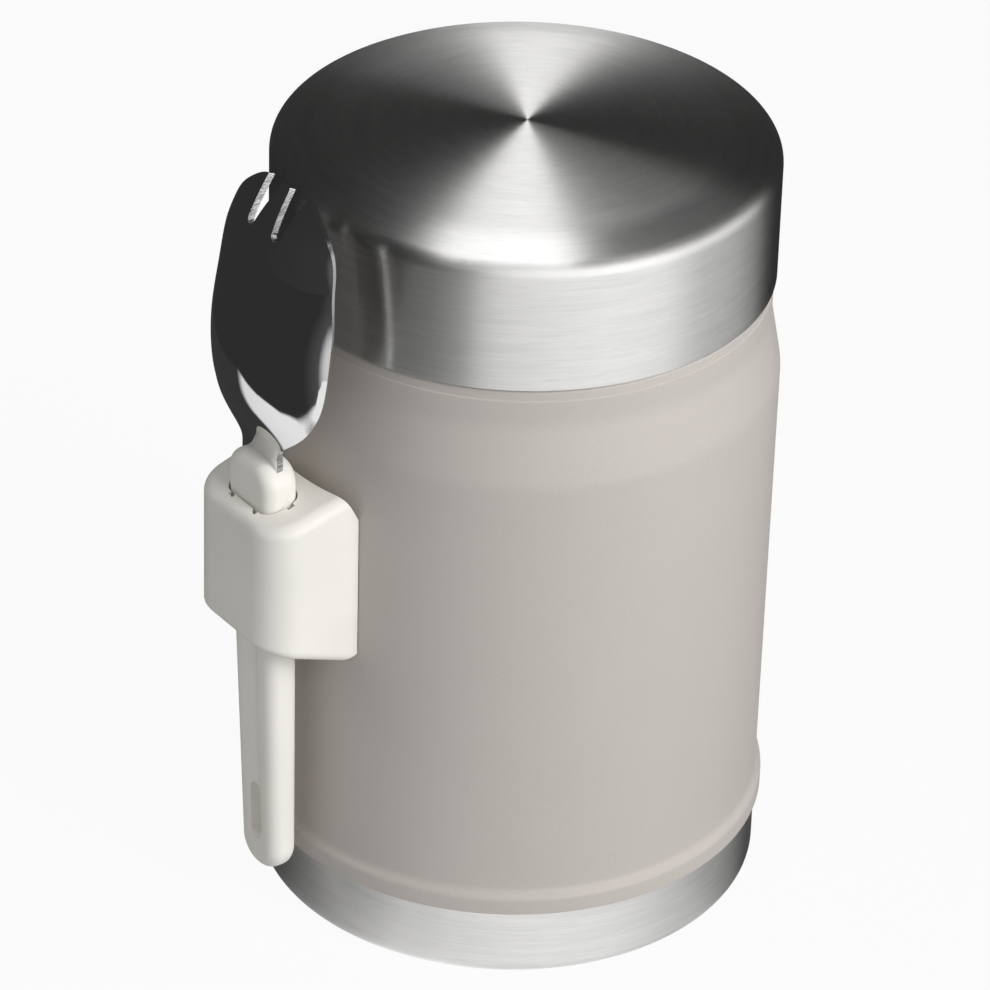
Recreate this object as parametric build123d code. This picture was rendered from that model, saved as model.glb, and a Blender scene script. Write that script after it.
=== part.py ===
from build123d import *
import os
from math import radians, sqrt, tan

# Insulated food jar with a screw-on cup lid, an inner stopper and a spork in a side holder.
# Millimetres, +Z up. The origin is on the jar's axis, in the plane that it stands on.
# The spork holder faces -Y. Radii are measured from the jar's axis, and "reach" is the
# distance from that axis towards the holder, so a reach of 50 is y = -50.

# ---- Outer shell: a deep-drawn steel body, necked in below the lid ----
shell_wall = 0.6
body_low_radius = 44.6
body_flare = 0.25
shoulder_height = 100.8
shoulder_round = 12.0
waist_inset = 2.0
waist_rise = 10.8
strip_height = 4.8
crease_step = 0.2
crease_round = 0.1
ledge_rise = 2.1
ledge_round = 0.8
ledge_width = 3.55
neck_foot_round = 0.7
neck_height = 11.0
body_high_radius = body_low_radius + body_flare
waist_radius = body_high_radius - waist_inset
waist_height = shoulder_height + waist_rise
crease_height = waist_height + strip_height
ledge_height = crease_height + ledge_rise
neck_radius = waist_radius - ledge_width
rim_height = ledge_height + neck_height

# ---- Rolled bead where the body laps over the base cup ----
bead_stand = 1.0
bead_low = 13.7
bead_height = 3.2
bead_flare = 1.3
bead_edge_round = 0.8
bead_foot_round = 1.0
bead_radius = body_low_radius + bead_stand
bead_high = bead_low + bead_height

# ---- Base cup: a brushed steel pan pressed up inside the bead ----
base_wall = 0.6
base_fit = 0.4
base_lap = 2.6
base_edge_round = 2.3
base_groove_inset = 11.6
base_groove_width = 6.0
base_groove_depth = 0.8
base_groove_round = 0.84
base_radius = bead_radius - shell_wall - base_fit
base_rim_height = bead_low + base_lap

# ---- Closure, getter and seal of the vacuum space ----
weld_gap = 0.1
closure_gap = 0.5
closure_flange = 6.4
closure_round = 3.0
getter_radius = 4.5
getter_height = 2.4
getter_offset = 18.0
getter_gap = 0.05
clip_thickness = 0.4
clip_width = 5.0
clip_foot = 4.0
seal_radius = 5.0
seal_height = 1.4
closure_height = base_rim_height + closure_gap
closure_floor = closure_height + shell_wall

# ---- Inner vessel and the vacuum space round it ----
vessel_wall = 0.5
vacuum_gap = 3.5
vessel_floor_gap = 1.3
vessel_floor_round = 12.0
vessel_shoulder_rise = 2.7
vessel_neck_drop = 2.1
vessel_neck_round = 6.0
neck_space = 2.7
lip_round = 1.1
foil_thickness = 0.2
foil_gap = 0.15
foil_low_margin = 2.0
foil_high_margin = 1.5
vessel_radius = body_low_radius - shell_wall - vacuum_gap - vessel_wall
vessel_floor = closure_floor + clip_thickness + getter_height + vessel_floor_gap + vessel_wall
vessel_shoulder = shoulder_height + vessel_shoulder_rise
vessel_neck = waist_height - vessel_neck_drop
mouth_radius = neck_radius - neck_space
foil_low = vessel_floor + vessel_floor_round + foil_low_margin
foil_high = vessel_shoulder - foil_high_margin

# ---- Lid: brushed steel cup, insulation disc and moulded liner ----
lid_wall = 0.6
lid_overhang = 0.55
lid_gap = 0.3
lid_headroom = 13.0
lid_edge_round = 3.0
lid_foam_thickness = 3.0
lid_foam_inset = 2.4
liner_wall = 1.4
liner_gap = 0.2
liner_round = 2.0
liner_inset = 0.2
lid_radius = waist_radius + lid_overhang
lid_bottom = ledge_height + lid_gap
lid_top = rim_height + lid_headroom

# ---- Stopper: plastic cup with a gasket, foam and a cover with a grip bar ----
stopper_gap = 0.7
stopper_wall = 2.3
stopper_floor_thickness = 1.5
stopper_depth = 17.5
stopper_round = 3.0
stopper_seat_gap = 0.3
flange_overhang = 2.2
flange_thickness = 2.4
flange_round = 0.8
cover_ledge = 0.6
cover_thickness = 1.2
cover_gap = 0.15
well_inset = 9.6
well_depth = 9.2
well_draft = 0.8
well_floor_round = 2.0
well_edge_round = 1.3
grip_width = 9.0
grip_round = 3.0
gasket_rise = 3.0
gasket_height = 3.2
gasket_foot_height = 1.9
gasket_groove_depth = 1.1
gasket_inset = 0.1
gasket_throat_inset = 0.2
gasket_gap = 0.35
gasket_lip = 0.8
gasket_lip_thickness = 0.4
well_radius = mouth_radius - well_inset

# ---- Spork: steel head with a tang moulded into a tapered plastic handle ----
# Built upright about its own axis, from the bottom of the handle, then leaned outwards.
spork_lean = 1.31
handle_length = 85.2
handle_width_low = 10.4
handle_width_high = 13.0
handle_depth_low = 5.6
handle_depth_high = 7.0
handle_side_round = 2.4
handle_tip_round = 2.6
handle_shoulder_round = 4.2
handle_top_round = 1.8
trim_margin = 0.02
groove_width = 4.2
groove_depth = 0.55
groove_low = 9.0
groove_high = 60.0
pocket_width = 3.0
pocket_low = 6.6
pocket_high = 17.8
pocket_depth = 2.0
steel_thickness = 1.3
tang_width = 7.0
tang_depth = 28.0
neck_width = 10.3
neck_depth = 5.0
neck_lap = 1.0
mould_gap = 0.05
head_length = 50.0
bowl_half_width = 16.5
bowl_depth = 5.6
tine_length = 7.4
tine_tip_offset = 5.5
tine_tip_drop = 0.35
slot_bottom_radius = 1.1
slot_bottom_offset = 3.6
middle_tine_half_width = 1.1

# ---- Spork holder: a moulded block that slides down over a welded bracket ----
holder_drop = 11.5
holder_height = 23.9
holder_top_rise = 4.0
holder_bottom_fall = 5.8
holder_side_wall = 5.85
holder_front_wall = 2.1
holder_corner_round = 6.7
holder_top_round = 2.2
holder_bottom_round = 2.0
holder_flare = 1.05
holder_body_gap = 0.15
holder_top_relief = 2.4
holder_top_relief_height = 5.0
holder_bottom_relief = 3.0
holder_bottom_relief_height = 1.6
handle_hang = 52.1
slot_wall = 0.93
slot_clearance = 0.35
slot_notch_width = 1.4
slot_notch_depth = 0.7
slot_notch_spacing = 6.6
bracket_low_inset = 0.6
bracket_high_inset = 1.8
bracket_thickness = 1.0
bracket_foot_width = 12.0
bracket_web_width = 5.0
bracket_web_depth = 1.2
bracket_rail_width = 11.0
bracket_gap = 0.2
cut_margin = 10.0
holder_width = handle_width_high + 2 * holder_side_wall
holder_inner_width = holder_width + 2 * holder_flare
holder_top_outer = shoulder_height - holder_drop
holder_top_inner = holder_top_outer + holder_top_rise
holder_bottom_outer = holder_top_outer - holder_height
holder_bottom_inner = holder_bottom_outer - holder_bottom_fall
bracket_low = holder_bottom_outer + bracket_low_inset
bracket_high = holder_top_outer - bracket_high_inset
spork_foot = holder_bottom_outer - handle_hang

# The spork's head from its neck to its tines. Each level cut of the bowl is given by its height
# as a share of the head's length, by how far the back stands out as a share of the bowl's depth,
# and by the radius that it is bent to, as a multiple of the bowl's half width.
bowl_cuts = [
    (0.106, 0.34, 3.0),
    (0.23, 0.84, 1.44),
    (0.37, 1.0, 1.32),
    (0.49, 0.91, 1.32),
    (0.63, 0.61, 1.37),
    (0.75, 0.3, 1.43),
    (0.862, -0.09, 1.34),
    (1.006, -1.07, 1.9),
]
# Right side of the head seen from the front: shares of its length and of its half width.
side_points = [(0.088, 0.44), (0.2, 0.81), (0.49, 1.0), (0.712, 0.95), (0.858, 0.81), (0.956, 0.53)]


def body_radius(height):
    """Outer radius of the slightly tapered body at a height between bead and shoulder."""
    low = bead_high + bead_flare
    share = (height - low) / (shoulder_height - low)
    return body_low_radius + share * (body_high_radius - body_low_radius)


def turned(outline):
    """Turn a closed (radius, height) outline about the jar's axis."""
    return revolve(Plane.XZ * make_face(outline), Axis.Z)


def turned_polygon(*points):
    """Turn a straight-sided section about the jar's axis."""
    return turned(Polyline(*points, close=True))


def drawn_sheet(points, rounds, wall, side):
    """Turn a sheet of constant wall: one face follows the rounded path through the points."""
    path = FilletPolyline(*points, radius=rounds)
    return turned(offset(path, amount=wall, side=side, closed=True))


def block(width, reach_low, reach_high, low, high):
    """Box centred on the holder's middle plane, between two reaches and two heights."""
    depth = reach_high - reach_low
    height = high - low
    centre = Pos(0, -(reach_low + depth / 2), low + height / 2)
    return centre * Box(width, depth, height)


def edge_reach(width):
    """Reach at which the body's surface passes under the edges of a piece this wide."""
    return sqrt(body_low_radius**2 - width**2 / 4)


def outer_shell():
    crease_radius = waist_radius + crease_step / 2
    strip_radius = crease_radius - crease_step
    corners = [
        (bead_radius, bead_low, 0),
        (bead_radius, bead_high, bead_edge_round),
        (body_low_radius, bead_high + bead_flare, bead_foot_round),
        (body_high_radius, shoulder_height, shoulder_round),
        (waist_radius, waist_height, shoulder_round),
        (crease_radius, crease_height, crease_round),
        (strip_radius, crease_height + crease_step, crease_round),
        (strip_radius, ledge_height, ledge_round),
        (neck_radius, ledge_height, neck_foot_round),
        (neck_radius, rim_height - vessel_wall, 0),
    ]
    points = [(radius, height) for radius, height, _ in corners]
    rounds = [corner_round for _, _, corner_round in corners[1:-1]]
    return drawn_sheet(points, rounds, shell_wall, Side.LEFT)


def inner_vessel():
    points = [
        (0, vessel_floor),
        (vessel_radius, vessel_floor),
        (vessel_radius, vessel_shoulder),
        (mouth_radius, vessel_neck),
        (mouth_radius, rim_height),
        (neck_radius, rim_height),
    ]
    rounds = [vessel_floor_round, vessel_neck_round, vessel_neck_round, lip_round]
    return drawn_sheet(points, rounds, vessel_wall, Side.RIGHT)


def shell_closure():
    """Pan welded into the shell above the base cup's rim, which closes the vacuum space."""
    rim = body_low_radius - shell_wall - weld_gap
    points = [(0, closure_height), (rim, closure_height), (rim, closure_height + closure_flange)]
    return drawn_sheet(points, closure_round, shell_wall, Side.LEFT)


def base_cup():
    middle = base_radius - base_groove_inset
    inner = middle - base_groove_width / 2
    outer = middle + base_groove_width / 2
    slope = base_groove_depth
    points = [
        (0, 0),
        (inner - slope, 0),
        (inner, base_groove_depth),
        (outer, base_groove_depth),
        (outer + slope, 0),
        (base_radius, 0),
        (base_radius, base_rim_height),
    ]
    rounds = [base_groove_round] * 4 + [base_edge_round]
    return drawn_sheet(points, rounds, base_wall, Side.LEFT)


def heat_foil():
    inner = vessel_radius + vessel_wall + foil_gap
    outer = inner + foil_thickness
    return turned_polygon((inner, foil_low), (outer, foil_low), (outer, foil_high), (inner, foil_high))


def getter_parts():
    """Gas-absorbing pill and the spring clip that holds it to the closure."""
    pill_low = closure_floor + clip_thickness
    pill = Pos(getter_offset, 0, pill_low + getter_height / 2) * Cylinder(getter_radius, getter_height)
    arm = getter_radius + getter_gap
    length = 2 * (arm + clip_thickness + clip_foot)
    foot = Pos(getter_offset, 0, closure_floor + clip_thickness / 2)
    clip = foot * Box(length, clip_width, clip_thickness)
    for side in (-1, 1):
        reach = getter_offset + side * (arm + clip_thickness / 2)
        post = Pos(reach, 0, pill_low + getter_height / 2)
        clip += post * Box(clip_thickness, clip_width, getter_height)
    return pill, clip


def vacuum_seal():
    """Brazed plug over the pumping hole, under the closure, with a sloped edge."""
    top = closure_height
    edge = top - seal_height / 2
    low = top - seal_height
    face_radius = seal_radius - seal_height
    return turned_polygon((0, top), (seal_radius, top), (seal_radius, edge), (face_radius, low), (0, low))


def bracket_reaches():
    """Reaches of the bracket's foot plate, rail and outermost face."""
    foot_top = body_radius(bracket_high) + weld_gap + bracket_thickness
    rail_low = foot_top + bracket_web_depth
    return foot_top, rail_low, rail_low + bracket_thickness


def bracket_section(gap):
    """Foot plate, web and rail of the bracket, grown by a gap for the holder's pocket."""
    foot_top, rail_low, rail_top = bracket_reaches()
    low = bracket_low - gap
    high = bracket_high + gap
    inside = edge_reach(bracket_foot_width) - bracket_thickness
    foot = block(bracket_foot_width + 2 * gap, inside, foot_top + gap, low, high)
    web = block(bracket_web_width + 2 * gap, inside, rail_top, low, high)
    rail = block(bracket_rail_width + 2 * gap, rail_low - gap, rail_top + gap, low, high)
    return foot + web + rail


def around_body(gap, low, high):
    """Solid of the body's taper grown by a gap, to cut what lies against the body."""
    return turned_polygon((0, low), (body_radius(low) + gap, low), (body_radius(high) + gap, high), (0, high))


def holder_bracket():
    return bracket_section(0) - around_body(weld_gap, bracket_low - cut_margin, bracket_high + cut_margin)


def handle_depth(height):
    """Depth of the handle at a height along its own axis."""
    return handle_depth_low + height / handle_length * (handle_depth_high - handle_depth_low)


def axis_reach(height):
    """Reach of the leaned spork's axis. Its slot clears the bracket's pocket by the slot's wall."""
    pocket = bracket_reaches()[2] + bracket_gap
    level = holder_bottom_outer
    start = pocket + slot_wall + slot_clearance + handle_depth(level - spork_foot) / 2
    return start + tan(radians(spork_lean)) * (height - level)


def leaned(shape):
    """Carry a piece from the spork's own upright frame to its place beside the jar."""
    return Location((0, -axis_reach(spork_foot), spork_foot), (spork_lean, 0, 0)) * shape


def holder_block():
    """Trapezoid seen from the side, wider at the body than outside, with rounded corners and edges."""
    notch_end = axis_reach(holder_top_outer) + handle_depth_high / 2 + slot_clearance + slot_notch_depth
    reach = notch_end + holder_front_wall
    run = reach - body_low_radius
    inside = edge_reach(holder_inner_width) - holder_body_gap - holder_front_wall
    share = (reach - inside) / run
    section = Polyline(
        (-inside, holder_top_outer + share * holder_top_rise),
        (-reach, holder_top_outer),
        (-reach, holder_bottom_outer),
        (-inside, holder_bottom_outer - share * holder_bottom_fall),
        close=True,
    )
    plan = Polyline(
        (-holder_width / 2, -reach),
        (holder_width / 2, -reach),
        (holder_inner_width / 2, -inside),
        (-holder_inner_width / 2, -inside),
        close=True,
    )
    body = extrude(Plane.YZ * make_face(section), amount=holder_inner_width / 2, both=True)
    body &= extrude(make_face(plan), amount=holder_top_inner + cut_margin)
    body = fillet(body.edges().filter_by(Axis.Z).group_by(Axis.Y)[0], holder_corner_round)
    body = fillet(body.faces().sort_by(Axis.Z)[-1].edges(), holder_top_round)
    return fillet(body.faces().sort_by(Axis.Z)[0].edges(), holder_bottom_round)


def holder_seat():
    """What the holder leaves free for the body: its taper, and a relief at each end."""
    wall = body_radius(holder_top_inner) + holder_body_gap
    far = holder_top_inner + cut_margin
    near = holder_bottom_inner - cut_margin
    top_relief = turned_polygon(
        (0, holder_top_inner - holder_top_relief_height),
        (wall, holder_top_inner - holder_top_relief_height),
        (wall + holder_top_relief, holder_top_inner),
        (wall + holder_top_relief, far),
        (0, far),
    )
    bottom_relief = turned_polygon(
        (0, near),
        (wall + holder_bottom_relief, near),
        (wall + holder_bottom_relief, holder_bottom_inner),
        (wall, holder_bottom_inner + holder_bottom_relief_height),
        (0, holder_bottom_inner + holder_bottom_relief_height),
    )
    return around_body(holder_body_gap, near, far) + top_relief + bottom_relief


def spork_holder():
    slot = leaned(handle_taper(slot_clearance))
    middle = axis_reach(holder_top_outer)
    notch_end = middle + handle_depth_high / 2 + slot_clearance + slot_notch_depth
    low = holder_bottom_inner - cut_margin
    high = holder_top_inner + cut_margin
    outer_notch = block(slot_notch_width, middle, notch_end, low, high)
    notches = [Pos(side * slot_notch_spacing / 2, 0, 0) * outer_notch for side in (-1, 1)]
    end_width = handle_width_high + 2 * (slot_clearance + slot_notch_depth)
    notches.append(block(end_width, middle - slot_notch_width, middle, low, high))
    pocket = bracket_section(bracket_gap)
    way_in = Pos(0, 0, -(bracket_high - bracket_low)) * pocket
    return holder_block() - holder_seat() - slot - notches - pocket - way_in


def tapered_outline(width_low, width_high, round_low, round_high):
    """Handle seen from one side: a trapezoid with rounded ends, a hair wider than the taper it trims."""
    low = width_low / 2 + trim_margin
    high = width_high / 2 + trim_margin
    face = make_face(Polyline((-low, 0), (low, 0), (high, handle_length), (-high, handle_length), close=True))
    face = fillet(face.vertices().group_by(Axis.Y)[0], round_low)
    return fillet(face.vertices().group_by(Axis.Y)[-1], round_high)


def handle_taper(gap):
    """Tapered bar with rounded long edges, grown by a gap and run past both ends."""

    def section(height):
        share = height / handle_length
        width = handle_width_low + share * (handle_width_high - handle_width_low) + 2 * gap
        depth = handle_depth(height) + 2 * gap
        return Pos(0, 0, height) * RectangleRounded(width, depth, handle_side_round + gap)

    return loft([section(-cut_margin), section(handle_length + cut_margin)], ruled=True)


def steel_bar(width, depth, gap=0.0, past=0.0):
    """Flat bar on the spork's axis inside the handle, grown by a gap and run past the handle's end."""
    low = handle_length - depth - gap
    high = handle_length + past
    return Pos(0, 0, (low + high) / 2) * Box(width + 2 * gap, steel_thickness + 2 * gap, high - low)


def mould_cavity():
    """What the moulded handle leaves free for the steel: the tang and the wider neck, with a gap."""
    tang = steel_bar(tang_width, tang_depth, mould_gap, neck_lap)
    return tang + steel_bar(neck_width, neck_depth, mould_gap, neck_lap)


def spork_handle():
    tip_round = handle_width_low / 2 - mould_gap
    front = tapered_outline(handle_width_low, handle_width_high, tip_round, handle_shoulder_round)
    side = tapered_outline(handle_depth_low, handle_depth_high, handle_tip_round, handle_top_round)
    bar = handle_taper(0) & extrude(Plane.XZ * front, amount=handle_depth_high, both=True)
    bar &= extrude(Plane.YZ * side, amount=handle_width_high, both=True)
    # The groove is a shallow hollow along the outer face, with ball ends.
    chord_radius = (groove_width**2 / 4 + groove_depth**2) / (2 * groove_depth)

    def groove_centre(height):
        return (0, -(handle_depth(height) / 2 - groove_depth + chord_radius), height)

    ends = Line(groove_centre(groove_low), groove_centre(groove_high))
    groove = sweep(Plane(ends @ 0, z_dir=ends % 0) * Circle(chord_radius), ends)
    groove += Pos(*groove_centre(groove_low)) * Sphere(chord_radius)
    groove += Pos(*groove_centre(groove_high)) * Sphere(chord_radius)
    middle = (pocket_low + pocket_high) / 2
    face = handle_depth(middle) / 2 + pocket_depth
    pocket_plane = Plane((0, -face, middle), x_dir=(0, 0, 1), z_dir=(0, 1, 0))
    pocket_outline = pocket_plane * SlotOverall(pocket_high - pocket_low, pocket_width)
    pocket = extrude(pocket_outline, amount=2 * pocket_depth)
    return leaned(bar - groove - pocket - mould_cavity())


def bowl_section(height, rise, cross_radius):
    """Level cut through the head: a strip bent to cross_radius, its back at the given rise."""
    half = bowl_half_width + steel_thickness
    sag = cross_radius - sqrt(cross_radius**2 - half**2)
    back = ThreePointArc((-half, -rise + sag), (0, -rise), (half, -rise + sag))
    front = ThreePointArc(
        (half, -rise + sag + steel_thickness),
        (0, -rise + steel_thickness),
        (-half, -rise + sag + steel_thickness),
    )
    sides = Line(back @ 1, front @ 0) + Line(front @ 1, back @ 0)
    return Pos(0, 0, handle_length + height) * make_face(back + front + sides)


def head_outline():
    """Front view of the head above its neck: bowl, three tines and the two slots between them."""
    neck = neck_width / 2
    sides = [(bowl_half_width * wide, head_length * high) for high, wide in side_points]
    shoulder = head_length - tine_tip_drop
    right = Spline((neck, neck_lap), *sides, (tine_tip_offset, shoulder), tangents=[(0, 1), (-1, 0.2)])
    crown = ThreePointArc(right @ 1, (0, head_length), (-tine_tip_offset, shoulder))
    left = mirror(right, about=Plane.YZ)
    foot = Polyline((-neck, neck_lap), (-neck, -neck_lap), (neck, -neck_lap), (neck, neck_lap))
    face = make_face(right + crown + left + foot)
    slot_bottom = head_length - tine_length
    for side in (-1, 1):
        slot = Polyline(
            (side * (slot_bottom_offset - slot_bottom_radius), slot_bottom + slot_bottom_radius),
            (side * (slot_bottom_offset + slot_bottom_radius), slot_bottom + slot_bottom_radius),
            (side * tine_tip_offset, head_length + tine_tip_drop),
            (side * middle_tine_half_width, head_length + tine_tip_drop),
            close=True,
        )
        face -= make_face(slot)
        face -= Pos(side * slot_bottom_offset, slot_bottom + slot_bottom_radius) * Circle(slot_bottom_radius)
    return Pos(0, handle_length) * face


def spork_head():
    back = steel_thickness / 2
    nearly_flat = 20 * bowl_half_width
    cuts = [bowl_section(-neck_lap, back, nearly_flat), bowl_section(neck_lap, back, nearly_flat)]
    for high, out, bend in bowl_cuts:
        cuts.append(bowl_section(head_length * high, bowl_depth * out, bowl_half_width * bend))
    outline = extrude(Plane.XZ * head_outline(), amount=3 * bowl_depth, both=True)
    head = (loft(cuts) & outline) + steel_bar(tang_width, tang_depth) + steel_bar(neck_width, neck_depth)
    return leaned(head)


def lid_shell():
    points = [(0, lid_top), (lid_radius, lid_top), (lid_radius, lid_bottom)]
    return drawn_sheet(points, lid_edge_round, lid_wall, Side.RIGHT)


def lid_insulation():
    top = lid_top - lid_wall
    low = top - lid_foam_thickness
    radius = lid_radius - lid_wall - lid_foam_inset
    return turned_polygon((0, low), (radius, low), (radius, top), (0, top))


def lid_liner():
    ceiling = lid_top - lid_wall - lid_foam_thickness - liner_wall
    inner = lid_radius - lid_wall - liner_gap - liner_wall
    points = [(0, ceiling), (inner, ceiling), (inner, lid_bottom + liner_inset)]
    return drawn_sheet(points, liner_round, liner_wall, Side.LEFT)


def stopper_sizes():
    """Radii and heights that the stopper's pieces share."""
    outer = mouth_radius - stopper_gap
    inner = outer - stopper_wall
    seat = rim_height + stopper_seat_gap
    floor = rim_height - stopper_depth
    top = seat + flange_thickness
    return outer, inner, seat, floor, top


def stopper_body():
    outer, inner, seat, floor, top = stopper_sizes()
    flange = mouth_radius + flange_overhang
    shelf = top - cover_thickness
    cup = turned_polygon(
        (0, floor),
        (outer, floor),
        (outer, seat),
        (flange, seat),
        (flange, top),
        (outer + cover_ledge, top),
        (outer + cover_ledge, shelf),
        (inner, shelf),
        (inner, floor + stopper_floor_thickness),
        (0, floor + stopper_floor_thickness),
    )
    cup = fillet(cup.edges().filter_by(GeomType.CIRCLE).group_by(Axis.Z)[0], stopper_round)
    rim_edges = cup.edges().filter_by(GeomType.CIRCLE).group_by(Axis.Z)[-1].sort_by(SortBy.RADIUS)
    cup = fillet(rim_edges[-1], flange_round)
    groove_low = floor + gasket_rise
    groove = turned_polygon(
        (outer - gasket_groove_depth, groove_low),
        (outer + stopper_gap, groove_low),
        (outer + stopper_gap, groove_low + gasket_height),
        (outer - gasket_groove_depth, groove_low + gasket_height),
    )
    return cup - groove


def stopper_gasket():
    """Silicone ring with a lip that turns up against the vessel's mouth."""
    outer, _, _, floor, _ = stopper_sizes()
    low = floor + gasket_rise
    high = low + gasket_height
    inner = outer - gasket_groove_depth
    lip = mouth_radius - gasket_gap
    return turned_polygon(
        (inner, low),
        (outer - gasket_inset, low),
        (lip, high - gasket_lip),
        (lip, high),
        (lip - gasket_lip_thickness, high),
        (outer - gasket_throat_inset, low + gasket_foot_height),
        (inner, low + gasket_foot_height),
    )


def stopper_cover():
    """Disc with a round well that a moulded grip bar crosses."""
    outer, _, _, _, top = stopper_sizes()
    rim = outer + cover_ledge - cover_gap
    well_floor = top - well_depth
    points = [(0, well_floor), (well_radius, well_floor), (well_radius + well_draft, top), (rim, top)]
    dish = drawn_sheet(points, [well_floor_round, well_edge_round], cover_thickness, Side.RIGHT)
    bar_length = 2 * (well_radius + well_draft + cover_thickness / 2)
    bar_height = well_depth + cover_thickness / 2
    middle = Pos(0, 0, top - bar_height / 2)
    bar = middle * Box(grip_width, bar_length, bar_height)
    bar = fillet(bar.edges().filter_by(Axis.Y).group_by(Axis.Z)[-1], grip_round)
    return dish + (bar & middle * Cylinder(bar_length / 2, bar_height))


def stopper_insulation():
    _, inner, _, floor, top = stopper_sizes()
    low = floor + stopper_floor_thickness
    side = inner - cover_gap
    under_well = top - well_depth - cover_thickness - cover_gap
    well = well_radius + well_draft + cover_thickness + 2 * cover_gap
    high = top - cover_thickness - cover_gap
    return turned_polygon(
        (0, low),
        (side, low),
        (side, high),
        (well, high),
        (well, under_well),
        (0, under_well),
    )


def build():
    """Make every piece, keyed by the node name it is written under."""
    getter, getter_clip = getter_parts()
    return {
        "outer_shell": outer_shell(),
        "inner_vessel": inner_vessel(),
        "shell_closure": shell_closure(),
        "base_cup": base_cup(),
        "heat_foil": heat_foil(),
        "getter": getter,
        "getter_clip": getter_clip,
        "vacuum_seal": vacuum_seal(),
        "holder_bracket": holder_bracket(),
        "spork_holder": spork_holder(),
        "spork_head": spork_head(),
        "spork_handle": spork_handle(),
        "lid_shell": lid_shell(),
        "lid_insulation": lid_insulation(),
        "lid_liner": lid_liner(),
        "stopper_body": stopper_body(),
        "stopper_gasket": stopper_gasket(),
        "stopper_cover": stopper_cover(),
        "stopper_insulation": stopper_insulation(),
    }


os.makedirs("parts", exist_ok=True)
for name, shape in build().items():
    export_step(shape, f"parts/{name}.step")
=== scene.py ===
import math

import bpy
import numpy as np
from bpy.props import FloatProperty, FloatVectorProperty, PointerProperty
from mathutils import Matrix, Vector


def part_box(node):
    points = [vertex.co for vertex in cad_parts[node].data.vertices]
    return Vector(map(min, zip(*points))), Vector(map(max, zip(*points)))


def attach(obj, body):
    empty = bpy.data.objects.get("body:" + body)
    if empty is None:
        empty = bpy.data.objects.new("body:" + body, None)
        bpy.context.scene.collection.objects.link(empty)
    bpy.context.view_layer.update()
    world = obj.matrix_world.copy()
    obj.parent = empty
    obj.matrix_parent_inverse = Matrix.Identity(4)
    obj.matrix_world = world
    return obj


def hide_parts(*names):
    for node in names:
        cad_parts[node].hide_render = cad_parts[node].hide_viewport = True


bl_info = {
    "name": "Insulated food jar",
    "version": (1, 0, 0),
    "blender": (4, 5, 0),
    "location": "View3D > Sidebar > Food jar",
    "description": "Dresses a food jar with a screw-on lid, a stopper and a spork in a side holder",
    "category": "Object",
}

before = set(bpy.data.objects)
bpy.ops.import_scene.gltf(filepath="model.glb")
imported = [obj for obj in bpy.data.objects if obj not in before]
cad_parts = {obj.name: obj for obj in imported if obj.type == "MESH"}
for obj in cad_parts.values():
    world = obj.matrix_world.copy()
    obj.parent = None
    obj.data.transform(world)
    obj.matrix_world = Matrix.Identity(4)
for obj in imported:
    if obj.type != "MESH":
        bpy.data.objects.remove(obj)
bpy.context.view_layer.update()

MM = 0.001
AROUND = 288  # steps round the jar
DOME_STEPS = 60  # steps from the lid's middle to its edge
SAME = 1e-7  # corners nearer than this are one, in metres
WHITE = (1.0, 1.0, 1.0, 1.0)
SHELL_LOW, SHELL_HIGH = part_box("outer_shell")
BASE_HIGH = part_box("base_cup")[1]
LID_LOW, LID_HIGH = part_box("lid_shell")
LINER_LOW, LINER_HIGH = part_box("lid_liner")
STOPPER_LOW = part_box("stopper_body")[0]

# Screw threads: pitch, turns, height of the ridge and half the width of its foot.
LID_THREAD = (4.2 * MM, 1.5, 0.75 * MM, 1.0 * MM)
STOPPER_THREAD = (4.0 * MM, 1.5, 0.3 * MM, 0.9 * MM)
MOUTH_THREAD = (4.0 * MM, 1.5, 0.25 * MM, 0.9 * MM)
INNER_START = 2.0  # where a thread inside a wall starts, in radians round the jar

# The spork's head by level cuts of its back: height as a share of the head's length, how far the
# middle stands out as a share of the bowl's depth, and the radius as a multiple of its half width.
BOWL_CUTS = (
    (0.106, 0.34, 3.0),
    (0.23, 0.84, 1.44),
    (0.37, 1.0, 1.32),
    (0.49, 0.91, 1.32),
    (0.63, 0.61, 1.37),
    (0.75, 0.3, 1.43),
    (0.862, -0.09, 1.34),
    (1.006, -1.07, 1.9),
)
# Right side of the head seen from the front: shares of its length and of its half width.
SIDE_POINTS = ((0.088, 0.44), (0.2, 0.81), (0.49, 1.0), (0.712, 0.95), (0.858, 0.825), (0.956, 0.55))

# Stretches of the handle's outline, in millimetres, and the steps that each takes.
HANDLE_SPANS = (0, 9, 36), (9, 23, 130), (23, 60, 40), (60, 67, 26), (67, 82, 16), (82, 94, 60)

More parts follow.
